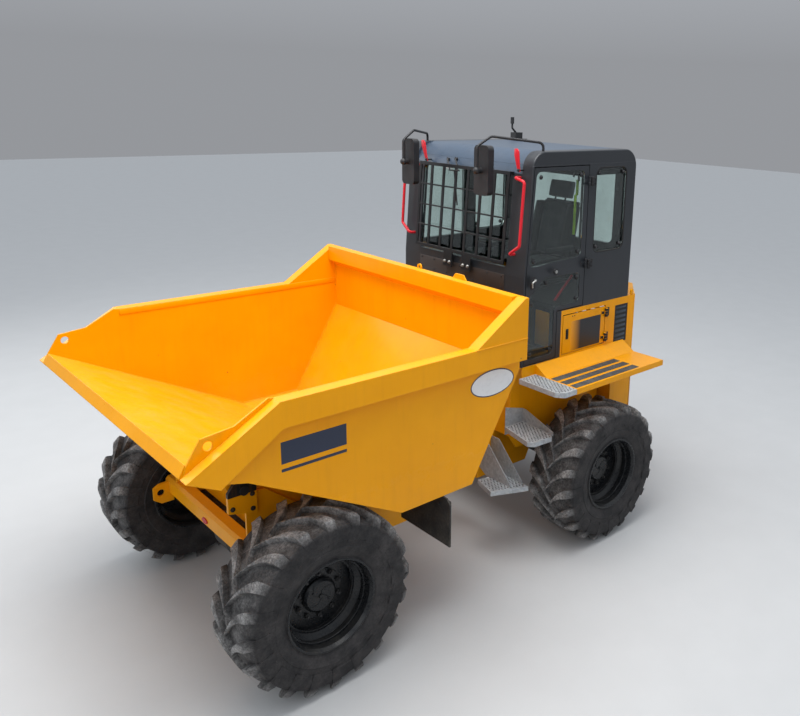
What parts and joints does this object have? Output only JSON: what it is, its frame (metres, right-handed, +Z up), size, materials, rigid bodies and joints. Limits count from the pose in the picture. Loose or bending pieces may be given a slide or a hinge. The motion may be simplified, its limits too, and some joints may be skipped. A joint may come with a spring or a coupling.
{
  "type": "front-tipping articulated site dumper",
  "caption": "Site dumper with a skip that tips forward over the front axle, an articulated frame, a glazed cab with a screen guard, and step wings at the rear.",
  "frame": {"origin": "on the ground, at the middle of the machine's length and width", "axes": "+X forward over the skip, +Y to the left, +Z up"},
  "size_m": [4.635, 2.496, 3.41],
  "materials": {
    "paint_yellow": "gloss",
    "black_steel": "satin",
    "cast_weight": "gloss",
    "cab_paint": "satin",
    "galvanised": "matte",
    "rim_paint": "satin",
    "tyre": "matte",
    "glass": "gloss",
    "chrome_rod": "polished",
    "rubber": "matte",
    "engine_iron": "matte",
    "red_paint": "gloss",
    "black_plastic": "matte",
    "seat_fabric": "matte"
  },
  "bodies": {
    "rear_frame": {"rear_chassis": "paint_yellow", "rear_axle": "black_steel", "body_tub": "paint_yellow", "engine_block": "engine_iron", "bay_sides": "paint_yellow", "louvres": "black_steel", "wings": "paint_yellow", "steps": "galvanised", "rear_tanks": "paint_yellow", "counterweight": "cast_weight", "cab_frame": "cab_paint", "cab_roof": "cab_paint", "cab_glass": "glass", "screen_guard": "black_steel", "mirrors": "black_plastic", "grab_bars": "red_paint", "beacon": "black_plastic", "seat": "seat_fabric", "controls": "black_plastic"},
    "front_frame": {"front_chassis": "paint_yellow", "front_beam": "paint_yellow", "skip_pivots": "black_steel", "skip_rests": "rubber", "mud_flaps": "rubber", "front_axle": "black_steel"},
    "skip": {"skip_sides": "paint_yellow", "skip_rims": "paint_yellow", "skip_floor": "paint_yellow", "skip_rear": "paint_yellow", "skip_bearers": "paint_yellow"},
    "tip_barrels": {"tip_barrels": "black_steel"},
    "tip_rods": {"tip_rods": "chrome_rod"},
    "steer_barrel": {"steer_barrel": "black_steel"},
    "steer_rod": {"steer_rod": "chrome_rod"},
    "cab_door": {"cab_door": "cab_paint", "door_glass": "glass"},
    "service_door": {"service_door": "paint_yellow"},
    "engine_hood": {"engine_hood": "paint_yellow"},
    "wheel_front_left": {"rim_front_left": "rim_paint", "tyre_front_left": "tyre"},
    "wheel_front_right": {"rim_front_right": "rim_paint", "tyre_front_right": "tyre"},
    "wheel_rear_left": {"rim_rear_left": "rim_paint", "tyre_rear_left": "tyre"},
    "wheel_rear_right": {"rim_rear_right": "rim_paint", "tyre_rear_right": "tyre"}
  },
  "joints": [
    {"name": "steering", "type": "hinge", "parent": "rear_frame", "child": "front_frame", "pos_m": [0.1025, 0, 0.67], "axis": [0, 0, 1], "range_deg": [-28, 28]},
    {"name": "tip", "type": "hinge", "parent": "front_frame", "child": "skip", "pos_m": [1.7225, 0, 1.19], "axis": [0, 1, 0], "range_deg": [0, 55]},
    {"name": "tip_ram_swing", "type": "hinge", "parent": "front_frame", "child": "tip_barrels", "pos_m": [1.1825, 0, 0.55], "axis": [0, 1, 0], "range_deg": [-12, 12]},
    {"name": "tip_ram_slide", "type": "slide", "parent": "tip_barrels", "child": "tip_rods", "axis": [0.3846, 0, 0.9231], "range_m": [-0.005, 0.29]},
    {"name": "steering_ram_swing", "type": "hinge", "parent": "rear_frame", "child": "steer_barrel", "pos_m": [-0.3025, -0.3, 0.67], "axis": [0, 0, 1], "range_deg": [-12, 12]},
    {"name": "steering_ram_slide", "type": "slide", "parent": "steer_barrel", "child": "steer_rod", "axis": [0.999, 0.0451, 0], "range_m": [-0.145, 0.145]},
    {"name": "cab_door_hinge", "type": "hinge", "parent": "rear_frame", "child": "cab_door", "pos_m": [-1.1955, 0.764, 2.3], "axis": [0, 0, 1], "range_deg": [0, 90]},
    {"name": "service_door_hinge", "type": "hinge", "parent": "rear_frame", "child": "service_door", "pos_m": [-1.4985, 0.764, 1.7], "axis": [0, 0, 1], "range_deg": [0, 100]},
    {"name": "hood_hinge", "type": "hinge", "parent": "rear_frame", "child": "engine_hood", "pos_m": [-1.9115, 0, 1.939], "axis": [0, 1, 0], "range_deg": [0, 55]},
    {"name": "spin_front_left", "type": "hinge", "parent": "front_frame", "child": "wheel_front_left", "pos_m": [1.4825, 0.978, 0.58], "axis": [0, 1, 0], "continuous": true},
    {"name": "spin_front_right", "type": "hinge", "parent": "front_frame", "child": "wheel_front_right", "pos_m": [1.4825, -0.978, 0.58], "axis": [0, 1, 0], "continuous": true},
    {"name": "spin_rear_left", "type": "hinge", "parent": "rear_frame", "child": "wheel_rear_left", "pos_m": [-1.1725, 0.978, 0.58], "axis": [0, 1, 0], "continuous": true},
    {"name": "spin_rear_right", "type": "hinge", "parent": "rear_frame", "child": "wheel_rear_right", "pos_m": [-1.1725, -0.978, 0.58], "axis": [0, 1, 0], "continuous": true}
  ],
  "couplings": [
    {"joint": "tip_ram_swing", "follows": "tip", "ratio": -0.0568},
    {"joint": "tip_ram_slide", "follows": "tip", "m_per_rad": 0.2816},
    {"joint": "steering_ram_swing", "follows": "steering", "ratio": 0.3667},
    {"joint": "steering_ram_slide", "follows": "steering", "m_per_rad": 0.2793}
  ]
}
